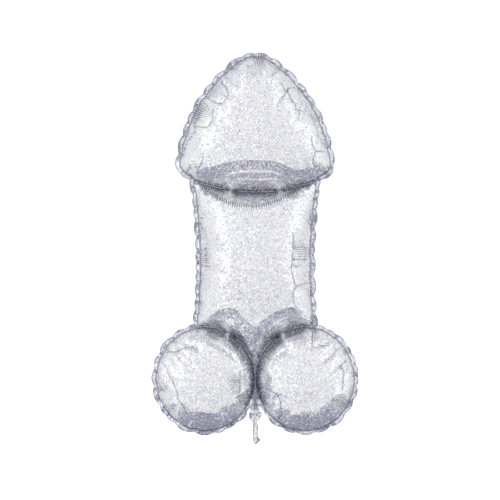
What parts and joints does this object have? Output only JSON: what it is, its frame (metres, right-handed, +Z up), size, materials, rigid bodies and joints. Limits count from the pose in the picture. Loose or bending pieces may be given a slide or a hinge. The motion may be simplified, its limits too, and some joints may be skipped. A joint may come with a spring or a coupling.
{
  "type": "foil balloon",
  "caption": "Tall metallised foil party balloon: a pointed dome on an upright column over round lobes, with a flat tail and a gas valve.",
  "frame": {"origin": "where the ribbon is tied round the tail, on its centre line and in the plane of the welded seam", "axes": "+Z up to the tip of the dome, -Y out of the front sheet, +X to the right seen from the front"},
  "size_m": [0.4944, 0.1912, 0.9491],
  "materials": {
    "metallised_film": "bright silver film with a fine pastel sparkle",
    "clear_film": "clear and glossy"
  },
  "bodies": {
    "root": {"front_sheet": "metallised_film", "back_sheet": "metallised_film", "valve_front_film": "clear_film", "valve_back_film": "clear_film"}
  },
  "joints": []
}
